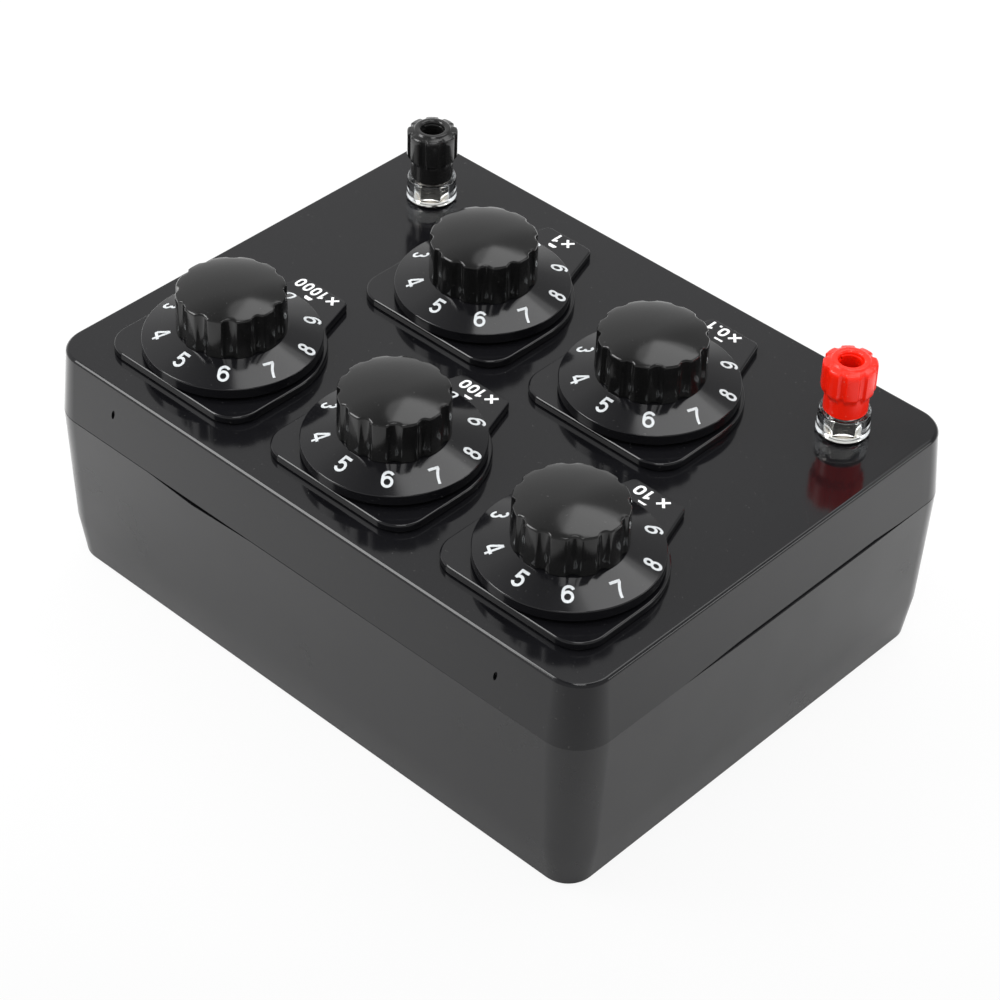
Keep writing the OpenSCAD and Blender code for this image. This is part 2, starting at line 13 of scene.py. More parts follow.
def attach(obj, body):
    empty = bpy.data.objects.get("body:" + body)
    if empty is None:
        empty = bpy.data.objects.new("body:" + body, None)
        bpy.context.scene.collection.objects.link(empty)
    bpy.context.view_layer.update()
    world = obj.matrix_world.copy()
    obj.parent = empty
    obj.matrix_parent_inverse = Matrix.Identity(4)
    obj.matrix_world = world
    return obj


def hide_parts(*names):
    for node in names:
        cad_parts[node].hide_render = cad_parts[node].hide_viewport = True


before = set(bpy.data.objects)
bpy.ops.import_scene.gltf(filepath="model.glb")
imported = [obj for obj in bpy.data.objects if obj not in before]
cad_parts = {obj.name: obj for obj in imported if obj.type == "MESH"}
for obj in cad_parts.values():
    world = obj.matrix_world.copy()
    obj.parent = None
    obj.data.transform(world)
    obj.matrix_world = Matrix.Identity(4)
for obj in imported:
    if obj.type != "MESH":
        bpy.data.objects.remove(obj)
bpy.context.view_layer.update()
MM = 0.001
# How near in millimetres a point lies to a place to count as there, and how near in metres doubles lie
NEAR, WELD = 0.01, 1e-6

# Sizes and places on the box
COVER_L, COVER_W = 160.0, 121.0
BODY_H, COVER_H, SEAM_GAP = 59.0, 16.45, 0.2
COVER_LEAN, CASE_LEAN, BAND_LEAN, BAND_H = 1.4, 1.2, 1.7, 11.6
CORNER_R, EDGE_R, FOOT_EDGE_R, WALL, ROOF = 8.0, 0.8, 0.6, 2.6, 3.0
BUSH_HOLE_R, POST_HOLE_R, HOLE_SIDES = 4.6, 2.5, 64
SEAM_Z = BODY_H - COVER_H
# The screws' places, the radii of a pillar, its counterbore and its screw hole, and the heights of
# the seat of a screw's head and of a pillar's top
SCREWS = [(x, y) for x in (-70.0, 70.0) for y in (-50.5, 50.5)]
PILLAR_R, COUNTERBORE_R, SCREW_HOLE_R, SCREW_SEAT, PILLAR_TOP = 4.6, 3.4, 1.7, 28.0, 38.0
# Where each switch's shaft and each binding post stands
DECADES = {"tenths": (-26.3, -20.6), "units": (24.3, -20.6), "tens": (-51.6, 33.4), "hundreds": (-1.0, 33.4),
           "thousands": (49.6, 33.4)}
POSTS = {"red": (-63.6, -42.1), "black": (61.6, -42.1)}
PLATE_T, DIAL_GAP = 2.0, 0.7
PLATE_R, PLATE_SET, PLATE_BACK, PLATE_CORNER = 21.5, 0.5, 19.6, 7.0
TAB_REACH, FRONT_TAB_REACH, TAB_END, TAB_ROOT, TAB_ROOT_Y = 29.4, 30.4, 14.2, 21.8, 17.845
TAB_CORNER, TAB_HOLLOW, PLATE_EDGE = 1.6, 3.0, 0.45
DIAL_Z = BODY_H + PLATE_T + DIAL_GAP
DIAL_R, RIM_H, DIAL_RISE, DIAL_WALL, SHAFT_HOLE_R = 20.2, 2.6, 2.4, 1.5, 3.1
KNOB_Z, KNOB_R, KNOB_TOP_R, KNOB_H, CROWN = DIAL_Z + RIM_H + DIAL_RISE, 12.45, 12.3, 9.8, 2.0
FLUTES, FLUTE_R, FLUTE_DEPTH = 12, 2.0, 0.75
FLUTE_COLUMNS, RIDGE_SOFT, KNOB_EDGE, KNOB_TURN = 24, 0.12, 0.4, 15.0
# Where the seam opens on the +Y wall and how far, and how far it is closed at the corner by the tens
SEAM_DIP, SEAM_DIP_H, SEAM_CLOSED = (47.0, 33.0, 14.5), 0.95, 0.17
SEAM_DIP_MIDDLE = SEAM_DIP[1]
# Where the cover's foot stands in on the -X wall, as y of the ends of its two slopes, and how far it
# stands in and hangs lower between them
SEAM_STEP, SEAM_STEP_IN, SEAM_STEP_DOWN = (30.0, 12.0, -34.0, -49.0), 0.42, 0.2
# Two moulding pits on the +Y wall of the cover, as (x, z), and their stretch and turn, in radians
PITS = ((58.9, 51.5), (-57.5, 50.3))
PIT_R, PIT_DEPTH, PIT_STRETCH, PIT_TURN = 0.48, 0.6, 2.7, 0.2

# The print: stroke weight, the numerals' ring with its set off the shaft, and the marks of each label
STROKE, LABEL_STROKE, TIMES_STROKE, HAIR, INK = 0.64, 0.86, 0.7, 0.006, 0.05
RING_R, RING_X, RING_Y, RING_TURN, RING_LIMIT = 17.05, -0.3, -1.36, 0.71, 18.1
DIGIT_TURN = {0: 3.7, 1: 1.5, 3: -1.2, 8: 0.7, 9: 2.0}
DIAL_TURN = {"tenths": -0.6, "units": 0.6, "tens": 0.6, "hundreds": -0.6, "thousands": 0.0}
LABEL_SHARE = {"tenths": (0.70, 0.755), "units": (0.70, 0.765), "tens": (0.74, 0.755),
               "hundreds": (0.68, 0.755), "thousands": (0.63, 0.765)}
TIMES_SHARE = (0.88, 0.9)
LABELS = {
    "tenths": (("x", -1.1, -27.95), ("0", 2.05, -27.85), (".", 3.85, -29.1), ("1", 5.52, -27.95)),
    "units": (("x", -0.75, -28.1), ("1", 2.32, -27.95)),
    "tens": (("x", -2.3, -27.0), ("1", 1.44, -26.73), ("0", 4.03, -26.73)),
    "hundreds": (("x", -3.2, -26.9), ("1", -0.23, -26.73), ("0", 2.1, -26.73), ("0", 4.55, -26.73)),
    "thousands": (("x", -3.7, -27.2), ("1", -0.8, -27.15), ("0", 1.55, -27.15), ("0", 4.0, -27.15),
                  ("0", 6.52, -27.15)),
}
# Each pointer's middle and foot, and its height, foot width and top width
POINTERS = {"tenths": (1.2, -25.2, 0.55, 2.3, 2.2), "units": (1.4, -25.43, 0.95, 2.2, 1.4),
            "tens": (1.0, -24.15, 0.55, 2.4, 1.7), "hundreds": (0.92, -24.05, 0.7, 2.3, 1.6),
            "thousands": (1.07, -24.6, 1.05, 2.2, 1.35)}

# Binding posts
COLLAR_H, COLLAR_HOLE_R, FOOT_WASHER_H, FOOT_WASHER_R = 6.2, 4.4, 0.75, 5.4
FLANGE_R, FLANGE_T, HEXAGON_R, STUD_R, STUD_FOOT_R, SOCKET_R = 4.3, 1.2, 4.25, 2.6, 2.4, 2.0
STUD_TOP, STUD_FOOT, SOCKET_FOOT = 14.2, -9.5, 3.2
CAP_Z = BODY_H + COLLAR_H + 0.1
CAP_H, CAP_FOOT_R, CAP_VALLEY_R, CAP_R, CAP_HOLE, CAP_MOUTH_R = 13.2, 4.95, 5.4, 6.0, 2.65, 4.7
# The thread in a cap, which starts a way over the cap's foot and ends short of its top
THREAD_DEPTH, THREAD_PITCH, THREAD_FOOT, THREAD_END = 0.32, 0.7, 8.0, 1.1
SPLINES, SPLINE_COLUMNS, SPLINE_HALF, SPLINE_SIDE = 8, 24, 13.0, 5.0


# Modelling

def deselect():
    """Leaves nothing selected, because an operator acts on all that is."""
    if bpy.context.object and bpy.context.object.mode != "OBJECT":
        bpy.ops.object.mode_set(mode="OBJECT")
    bpy.ops.object.select_all(action="DESELECT")


def take(piece):
    """Makes one piece the selected and active one."""
    deselect()
    piece.select_set(True)
    bpy.context.view_layer.objects.active = piece


def bake_place(piece):
    """Puts a piece's place into its mesh, so that its object sits at the origin."""
    take(piece)
    bpy.ops.object.transform_apply(location=True, rotation=True, scale=True)


def edit(piece, kind, wanted):
    """Goes into edit mode with the faces, edges or vertices selected that wanted() names."""
    take(piece)
    mesh = piece.data
    for group in (mesh.polygons, mesh.edges, mesh.vertices):
        group.foreach_set("select", [False] * len(group))
    if kind == "FACE":
        for face in mesh.polygons:
            face.select = bool(wanted(face.center / MM, face.normal))
    elif kind == "EDGE":
        for edge in mesh.edges:
            a, b = (mesh.vertices[i].co / MM for i in edge.vertices)
            edge.select = bool(wanted(a, b))
    else:
        for vertex in mesh.vertices:
            vertex.select = bool(wanted(vertex.co / MM))
    bpy.context.tool_settings.mesh_select_mode = [kind == k for k in ("VERT", "EDGE", "FACE")]
    bpy.ops.object.mode_set(mode="EDIT")


def done():
    """Leaves edit mode."""
    bpy.ops.object.mode_set(mode="OBJECT")


def turn_faces(piece, inside=False):
    """Turns all the faces of a piece outwards, or inwards."""
    take(piece)
    bpy.ops.object.mode_set(mode="EDIT")
    bpy.ops.mesh.select_all(action="SELECT")
    bpy.ops.mesh.normals_make_consistent(inside=inside)
    done()


def modify(piece, kind, **settings):
    """Adds one modifier and applies it."""
    take(piece)
    modifier = piece.modifiers.new(kind.title(), kind)
    for key, value in settings.items():
        setattr(modifier, key, value)
    bpy.ops.object.modifier_apply(modifier=modifier.name)


def cylinder(name, radius, z0, z1, x=0.0, y=0.0, sides=HOLE_SIDES):
    """A cylinder primitive between two heights."""
    deselect()
    bpy.ops.mesh.primitive_cylinder_add(
        vertices=sides, radius=radius * MM, depth=(z1 - z0) * MM,
        location=(x * MM, y * MM, (z0 + z1) / 2 * MM))
    piece = bpy.context.object
    piece.name = name
    bake_place(piece)
    return piece


def cube(name, low, high):
    """A cube primitive between two corners."""
    deselect()
    bpy.ops.mesh.primitive_cube_add(size=1, location=[(a + b) / 2 * MM for a, b in zip(low, high)])
    piece = bpy.context.object
    piece.name = name
    piece.scale = [(b - a) * MM for a, b in zip(low, high)]
    bake_place(piece)
    return piece


def cut(piece, others):
    """Cuts others from a piece, and removes them."""
    for other in others:
        modify(piece, "BOOLEAN", object=other, operation="DIFFERENCE", solver="EXACT")
        bpy.data.objects.remove(other)


def join(pieces, name):
    """Joins pieces into the first of them."""
    take(pieces[0])
    for piece in pieces:
        piece.select_set(True)
    if len(pieces) > 1:
        bpy.ops.object.join()
    pieces[0].name = name
    return pieces[0]


def copy(piece, name, x=0.0, y=0.0):
    """A copy with its own mesh, moved by millimetres."""
    other = piece.copy()
    other.data = piece.data.copy()
    other.name = name
    bpy.context.scene.collection.objects.link(other)
    other.data.transform(Matrix.Translation(Vector((x, y, 0)) * MM))
    return other


def smooth(piece, angle=32.0):
    """Smooth shading with weighted normals, which keep flat faces flat."""
    take(piece)
    bpy.ops.object.shade_smooth_by_angle(angle=math.radians(angle), keep_sharp_edges=True)
    modify(piece, "WEIGHTED_NORMAL", mode="FACE_AREA", weight=80, keep_sharp=True)


def finish_piece(piece, material, body, slot, *nodes):
    """Gives a piece its material and the body that it rides on, and hides the nodes it stands for. The slot
    is not used.
    """
    piece.data.materials.clear()
    piece.data.materials.append(material)
    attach(piece, body)
    if nodes:
        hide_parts(*nodes)


# Finishes

def nodes_of(name):
    """A new material with its node tree and its shader."""
    material = bpy.data.materials.new(name)
    material.use_nodes = True
    tree = material.node_tree
    return material, tree, tree.nodes["Principled BSDF"]


def noise(tree, scale, detail, roughness=0.5):
    """Noise through the piece, from 0 to 1."""
    place = tree.nodes.new("ShaderNodeTexCoord")
    node = tree.nodes.new("ShaderNodeTexNoise")
    node.inputs["Scale"].default_value = scale
    node.inputs["Detail"].default_value = detail
    node.inputs["Roughness"].default_value = roughness
    tree.links.new(place.outputs["Object"], node.inputs["Vector"])
    return node.outputs["Fac"]


def spread(tree, source, low, high, at=(0.3, 0.7)):
    """A value that goes from low to high while the source goes through the range at."""
    node = tree.nodes.new("ShaderNodeMapRange")
    node.inputs["From Min"].default_value, node.inputs["From Max"].default_value = at
    node.inputs["To Min"].default_value, node.inputs["To Max"].default_value = low, high
    tree.links.new(source, node.inputs["Value"])
    return node.outputs["Result"]


def brighter(tree, first, second):
    """The larger of two values."""
    node = tree.nodes.new("ShaderNodeMath")
    node.operation = "MAXIMUM"
    tree.links.new(first, node.inputs[0])
    tree.links.new(second, node.inputs[1])
    return node.outputs[0]


def two_tone(tree, source, first, second):
    """A colour that goes from the first to the second with the source."""
    node = tree.nodes.new("ShaderNodeMix")
    node.data_type = "RGBA"
    node.inputs[6].default_value = (*first, 1)
    node.inputs[7].default_value = (*second, 1)
    tree.links.new(source, node.inputs["Factor"])
    return node.outputs[2]


def bump(tree, shader, source, height, below=None):
    """Relief of a height in millimetres, laid over another one that is given as below."""
    node = tree.nodes.new("ShaderNodeBump")
    node.inputs["Strength"].default_value = 1.0
    node.inputs["Distance"].default_value = height * MM
    tree.links.new(source, node.inputs["Height"])
    if below is not None:
        tree.links.new(below, node.inputs["Normal"])
    tree.links.new(node.outputs["Normal"], shader.inputs["Normal"])
    return node.outputs["Normal"]


# How fine a moulded skin's cloudiness, its slow swell, its specks of dust and its grain are
CLOUD, SWELL, SPECKS, GRAIN = 60.0, 90.0, 1300.0, 2500.0
SWELL_H, FINE_GRAIN_H, SPECK_SHARE, DUST = 0.02, 0.0007, (0.69, 0.77), (0.03, 0.03, 0.03)


def moulded(name, first, second, rough, grain=0.002, ior=1.5, dust=DUST):
    """Glossy moulded plastic: a slightly uneven skin with fine specks of dust on it."""
    material, tree, shader = nodes_of(name)
    cloud = noise(tree, CLOUD, 4.0)
    fine = noise(tree, GRAIN, 2.0)
    specks = spread(tree, noise(tree, SPECKS, 2.0, 0.6), 0.0, 1.0, SPECK_SHARE)
    skin = tree.nodes.new("ShaderNodeMix")
    skin.data_type = "RGBA"
    skin.inputs[7].default_value = (*dust, 1)
    tree.links.new(specks, skin.inputs["Factor"])
    tree.links.new(two_tone(tree, fine, first, second), skin.inputs[6])
    tree.links.new(skin.outputs[2], shader.inputs["Base Color"])
    tree.links.new(spread(tree, cloud, *rough), shader.inputs["Roughness"])
    swell = bump(tree, shader, noise(tree, SWELL, 1.0), SWELL_H)
    bump(tree, shader, fine, grain, below=swell)
    shader.inputs["IOR"].default_value = ior
    return material


def plain(name, first, second, rough=(0.45, 0.6), metal=0.0, scale=400.0, height=0.01):
    """Metal, board, lacquer or print: one fine pattern in its colour, roughness and relief."""
    material, tree, shader = nodes_of(name)
    pattern = noise(tree, scale, 4.0)
    tree.links.new(two_tone(tree, pattern, first, second), shader.inputs["Base Color"])
    tree.links.new(spread(tree, pattern, *rough), shader.inputs["Roughness"])
    shader.inputs["Metallic"].default_value = metal
    bump(tree, shader, pattern, height)
    return material


def clear_plastic(name):
    """Clear plastic with a slight haze."""
    material, tree, shader = nodes_of(name)
    shader.inputs["Base Color"].default_value = (0.93, 0.96, 0.98, 1)
    shader.inputs["Transmission Weight"].default_value = 1.0
    shader.inputs["IOR"].default_value = 1.49
    haze = noise(tree, 300.0, 3.0)
    tree.links.new(spread(tree, haze, 0.01, 0.05), shader.inputs["Roughness"])
    bump(tree, shader, haze, 0.01)
    return material


DEEP_BLACK = (0.004, 0.004, 0.005), (0.006, 0.006, 0.007)
case_gloss = moulded("case_gloss", (0.005, 0.005, 0.006), (0.008, 0.008, 0.009), rough=(0.18, 0.28),
                     grain=0.005)
cover_gloss = moulded("cover_gloss", *DEEP_BLACK, rough=(0.08, 0.12), grain=FINE_GRAIN_H, ior=1.47)
plate_gloss = moulded("plate_gloss", *DEEP_BLACK, rough=(0.07, 0.11), grain=FINE_GRAIN_H)
dial_gloss = moulded("dial_gloss", *DEEP_BLACK, rough=(0.08, 0.13), grain=FINE_GRAIN_H)
knob_gloss = moulded("knob_gloss", (0.005, 0.005, 0.005), (0.007, 0.007, 0.007), rough=(0.12, 0.16),
                     grain=0.001)
red_gloss = moulded("red_gloss", (0.93, 0.012, 0.002), (0.98, 0.018, 0.004), rough=(0.24, 0.32),
                    ior=1.45, dust=(0.9, 0.2, 0.15))
black_gloss = moulded("black_gloss", (0.008, 0.008, 0.008), (0.012, 0.012, 0.012), rough=(0.15, 0.22))
white_print = plain("white_print", (0.78, 0.79, 0.8), (0.88, 0.88, 0.88), rough=(0.5, 0.65),
                    scale=900.0, height=0.004)
numeral_print = plain("numeral_print", (0.5, 0.53, 0.55), (0.72, 0.74, 0.75), rough=(0.5, 0.65),
                      scale=1400.0, height=0.004)
nickel = plain("nickel", (0.78, 0.73, 0.66), (0.86, 0.82, 0.77), rough=(0.08, 0.16), metal=1.0)
clear = clear_plastic("clear_collar")
steel = plain("zinc_steel", (0.55, 0.55, 0.54), (0.66, 0.66, 0.64), rough=(0.25, 0.4), metal=1.0)
brass = plain("contact_brass", (0.62, 0.42, 0.16), (0.72, 0.52, 0.22), rough=(0.2, 0.35), metal=1.0)
tinned = plain("tinned_brass", (0.7, 0.66, 0.55), (0.78, 0.75, 0.66), rough=(0.25, 0.4), metal=1.0)
frame_plastic = plain("switch_plastic", (0.5, 0.45, 0.36), (0.6, 0.55, 0.45))
board = plain("wafer_board", (0.16, 0.07, 0.03), (0.26, 0.12, 0.05), scale=150.0)
lacquer = plain("resistor_lacquer", (0.03, 0.16, 0.08), (0.05, 0.24, 0.12), rough=(0.2, 0.3))
insulation = plain("wire_insulation", (0.42, 0.015, 0.015), (0.52, 0.025, 0.02))

# The CAD nodes' own materials
kept = {"base_case": case_gloss, "top_cover": cover_gloss, "case_screws": steel, "bush_nuts": steel,
        "post_nuts": steel, "solder_lugs": tinned, "wiring": insulation}
for decade in DECADES:
    for part, material in {
            "plate": plate_gloss, "dial": dial_gloss, "knob": knob_gloss, "shaft": steel,
            "switch_frame": frame_plastic, "wafer": board, "contacts": brass, "wiper": brass,
            "resistors": lacquer}.items():
        kept[f"{decade}_{part}"] = material
for post, material in {"red": red_gloss, "black": black_gloss}.items():
    kept[f"{post}_cap"] = material
    kept[f"{post}_clamp_washer"] = nickel
    kept[f"{post}_collar"] = clear
    kept[f"{post}_stud"] = nickel
for name, material in kept.items():
    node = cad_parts[name]
    node.data.materials.clear()
    node.data.materials.append(material)


# Case and cover

def leaning_tube(name, levels):
    """Walls that lean between levels of (height, outward step), with rounded upright corners."""
    half_l, half_w = COVER_L / 2, COVER_W / 2
    zs = [z for z, _ in levels]
    tube = cube(name, (-half_l, -half_w, min(zs)), (half_l, half_w, max(zs)))
    edit(tube, "FACE", lambda c, n: abs(n.z) > 0.9)
    bpy.ops.mesh.delete(type="ONLY_FACE")
    done()
    for z in sorted(zs)[1:-1]:
        edit(tube, "FACE", lambda c, n: True)
        bpy.ops.mesh.bisect(plane_co=(0, 0, z * MM), plane_no=(0, 0, 1))
        done()
    edit(tube, "EDGE", lambda a, b: abs(a.z - b.z) > 1)
    bpy.ops.mesh.bevel(offset=CORNER_R * MM, segments=14, profile=0.5)
    done()
    for z, out in levels:
        edit(tube, "VERT", lambda p: abs(p.z - z) < NEAR)
        bpy.ops.transform.shrink_fatten(value=out * MM)
        done()
    return tube


def close_end(tube, z, edge_r, segments):
    """Closes one end of a tube and rounds its edge."""
    def at_end(a, b):
        return abs(a.z - z) < NEAR and abs(b.z - z) < NEAR

    edit(tube, "EDGE", at_end)
    bpy.ops.mesh.edge_face_add()
    done()
    edit(tube, "EDGE", at_end)
    bpy.ops.mesh.bevel(offset=edge_r * MM, segments=segments, profile=0.4)
    done()
    turn_faces(tube)


def cut_wall(tube, places, axis, wanted):
    """Cuts one wall of a tube upright at the places along an axis."""
    for place in places:
        edit(tube, "FACE", wanted)
        bpy.ops.mesh.bisect(plane_co=axis * place * MM, plane_no=axis)
        done()


def shift(piece, wanted, move):
    """Moves the vertices that wanted() names by millimetres."""
    edit(piece, "VERT", wanted)
    bpy.ops.transform.translate(value=Vector(move) * MM)
    done()


def stand_in(tube, z, inward):
    """Moves the middle of the -X wall's edge at the seam down, and inwards on the cover."""
    high_y, low_y = SEAM_STEP[1:3]
    shift(tube, lambda p: p.x < -COVER_L / 2 and abs(p.z - z) < 0.5 and low_y - 0.1 < p.y < high_y + 0.1,
          (inward, 0, -SEAM_STEP_DOWN))


def make_pit(x, z):
    """A cutter for one pit, long along the wall and a little turned."""
    pit = cylinder("pit", PIT_R, -PIT_DEPTH, PIT_DEPTH, sides=10)
    edit(pit, "VERT", lambda p: True)
    bpy.ops.transform.resize(value=(1, PIT_STRETCH, 1), center_override=(0, 0, 0))
    done()
    wall_y = COVER_W / 2 + COVER_LEAN * (BODY_H - z) / COVER_H
    pit.data.transform(Matrix.Translation((x * MM, wall_y * MM, z * MM))
                       @ Matrix.Rotation(math.pi / 2, 4, "X") @ Matrix.Rotation(PIT_TURN, 4, "Z"))
    return pit


ALONG, ACROSS = Vector((1, 0, 0)), Vector((0, 1, 0))
cover = leaning_tube("cover_moulding", [(SEAM_Z, COVER_LEAN), (BODY_H, 0.0)])
cut_wall(cover, SEAM_STEP, ACROSS, lambda c, n: n.x < -0.9)
stand_in(cover, SEAM_Z, SEAM_STEP_IN)
close_end(cover, BODY_H, EDGE_R, 5)
modify(cover, "SOLIDIFY", thickness=ROOF * MM, offset=-1, use_even_offset=True)
holes = [cylinder("hole", BUSH_HOLE_R, BODY_H - 5, BODY_H + 1, x, y) for x, y in DECADES.values()]
holes += [cylinder("hole", POST_HOLE_R, BODY_H - 5, BODY_H + 1, x, y) for x, y in POSTS.values()]
cut(cover, holes + [make_pit(x, z) for x, z in PITS])
smooth(cover)
finish_piece(cover, cover_gloss, "case", "cover_plastic", "top_cover")

case_out = COVER_LEAN - CASE_LEAN
case = leaning_tube("case_moulding", [
    (0.0, case_out - BAND_LEAN), (BAND_H, case_out), (SEAM_Z - SEAM_GAP, COVER_LEAN)])
cut_wall(case, SEAM_DIP, ALONG, lambda c, n: n.y > 0.9)
cut_wall(case, SEAM_STEP, ACROSS, lambda c, n: n.x < -0.9)
shift(case, lambda p: abs(p.x - SEAM_DIP_MIDDLE) < NEAR and p.z > SEAM_Z - 1, (0, 0, -SEAM_DIP_H))
shift(case, lambda p: p.z > SEAM_Z - 1 and p.x < 0 and p.y > SEAM_STEP[0] - 0.1, (0, 0, SEAM_CLOSED))
stand_in(case, SEAM_Z - SEAM_GAP, 0.0)
close_end(case, 0.0, FOOT_EDGE_R, 3)
modify(case, "SOLIDIFY", thickness=WALL * MM, offset=-1, use_even_offset=True)
cut(case, [cylinder("hole", COUNTERBORE_R, -1, 5, x, y) for x, y in SCREWS])
smooth(case, angle=12.0)
finish_piece(case, case_gloss, "case", "case_plastic", "base_case")


# Turned pieces

def turned(name, points, sides=96, closed=False):
    """A turned form: a ring of edges raised and narrowed from each (radius, height) to the next."""
    deselect()
    radius, height = points[0]
    bpy.ops.mesh.primitive_circle_add(
        vertices=sides, radius=radius * MM, fill_type="NOTHING" if closed else "NGON",
        location=(0, 0, height * MM))
    piece = bpy.context.object
    piece.name = name
    bake_place(piece)
    edit(piece, "EDGE", lambda a, b: True)
    if closed:
        points = points + points[:1]
    for new_radius, new_height in points[1:]:
        bpy.ops.mesh.extrude_edges_move(
            TRANSFORM_OT_translate={"value": (0, 0, (new_height - height) * MM)})
        share = new_radius / radius
        bpy.ops.transform.resize(value=(share, share, 1), center_override=(0, 0, 0))
        radius, height = new_radius, new_height
    if not closed:
        bpy.ops.mesh.edge_face_add()
    bpy.ops.mesh.select_all(action="SELECT")
    bpy.ops.mesh.remove_doubles(threshold=WELD)
    bpy.ops.mesh.normals_make_consistent(inside=False)
    done()
    return piece


def arc(radius, height, r, first, last, count):
    """Points of a rounded edge whose round is centred at (radius, height)."""
    return [(radius + r * math.cos(math.radians(a)), height + r * math.sin(math.radians(a)))
            for a in (first + (last - first) * i / count for i in range(count + 1))]


def shape_columns(piece, count, columns, share_at, wanted, rise=None, rim=0.0):
    """Narrows the columns of a turned form, so that count equal scoops or splines stand round it.

    share_at gives a column's share of the radius from its angle off the middle of its scoop, and
    rise gives how much that share lifts the rim, which is at the height rim."""
    step = 360.0 / (count * columns)
    for k in range(columns // 2 + 1):
        share = share_at(k * step)
        if abs(share - 1) < 1e-5:
            continue

        def in_column(p):
            turn = math.degrees(math.atan2(p.y, p.x)) % (360.0 / count)
            off = min(turn, 360.0 / count - turn)
            return abs(off - k * step) < step / 4 and wanted(math.hypot(p.x, p.y), p.z)

        edit(piece, "VERT", in_column)
        bpy.ops.transform.resize(value=(share, share, 1), center_override=(0, 0, 0))
        done()
        if rise:
            edit(piece, "VERT", lambda p: in_column(p) and abs(p.z - rim) < 0.001)
            bpy.ops.transform.translate(value=(0, 0, rise(share) * MM))
            done()


def turn_about_axis(piece, degrees):
    """Turns a piece about the upright axis through the origin."""
    piece.data.transform(Matrix.Rotation(math.radians(degrees), 4, "Z"))


def make_pillar():
    """A screw pillar inside the case, with its counterbore from beneath and the seat of the screw."""
    foot, bore, edge = 0.3, COUNTERBORE_R + 0.01, 0.2
    points = [(bore, foot), (bore, SCREW_SEAT), (SCREW_HOLE_R, SCREW_SEAT), (SCREW_HOLE_R, PILLAR_TOP),
              (PILLAR_R - edge, PILLAR_TOP), (PILLAR_R, PILLAR_TOP - edge), (PILLAR_R, 2.0),
              (PILLAR_R, foot)]
    pillar = turned("pillar", points, HOLE_SIDES, closed=True)
    smooth(pillar)
    return pillar


pillar_master = make_pillar()
pillars = join([copy(pillar_master, "pillar", x, y) for x, y in SCREWS], "screw_pillars")
bpy.data.objects.remove(pillar_master)
finish_piece(pillars, case_gloss, "case", "case_plastic")


# Plates

# The longest step along a drawn line, and the widest turn of one, in degrees
STEP, STEP_TURN = 0.9, 15


def draw(name, width, start, heading, path):
    """Draws with an edge as wide as a stroke, or with a point where the width is 0: straight ahead
    by (length,), or round by (radius, degrees), which is to the left where the degrees are positive."""
    deselect()
    bpy.ops.mesh.primitive_plane_add(size=1)
    piece = bpy.context.object
    piece.name = name
    edit(piece, "VERT", lambda p: p.y > 0)
    bpy.ops.mesh.delete(type="VERT")
    bpy.ops.mesh.select_all(action="SELECT")
    if width:
        bpy.ops.transform.resize(value=(width * MM, 1, 1), center_override=(0, 0, 0))
    else:
        bpy.ops.mesh.merge(type="CENTER")
    bpy.ops.transform.translate(value=(0, 0.5, 0))
    done()
    pen, turn = Vector((*start, 0)), math.radians(heading)
    piece.data.transform(Matrix.Translation(pen * MM) @ Matrix.Rotation(turn - math.pi / 2, 4, "Z"))
    extrude = bpy.ops.mesh.extrude_edges_move if width else bpy.ops.mesh.extrude_vertices_move
    edit(piece, "EDGE" if width else "VERT", lambda *ends: True)
    for length, *bend in path:
        if not bend:
            count = math.ceil(length / STEP) if width else 1
            ahead = Vector((math.cos(turn), math.sin(turn), 0)) * length / count
            for _ in range(count):
                extrude(TRANSFORM_OT_translate={"value": ahead * MM})
                pen += ahead
            continue
        side = math.copysign(1, bend[0])
        middle = pen + Vector((-math.sin(turn), math.cos(turn), 0)) * length * side
        angle = math.radians(bend[0])
        count = max(math.ceil(abs(bend[0]) / STEP_TURN), math.ceil(abs(angle) * length / STEP))
        bpy.ops.mesh.spin(steps=count, angle=-angle, center=middle * MM, axis=(0, 0, 1))
        pen = middle + Matrix.Rotation(angle, 3, "Z") @ (pen - middle)
        turn += angle
    bpy.ops.mesh.select_all(action="SELECT")
    bpy.ops.mesh.remove_doubles(threshold=WELD)
    if width:
        bpy.ops.mesh.normals_make_consistent(inside=False)
    done()
    if width and piece.data.polygons[0].normal.z < 0:
        edit(piece, "FACE", lambda c, n: True)
        bpy.ops.mesh.flip_normals()
        done()
    return piece


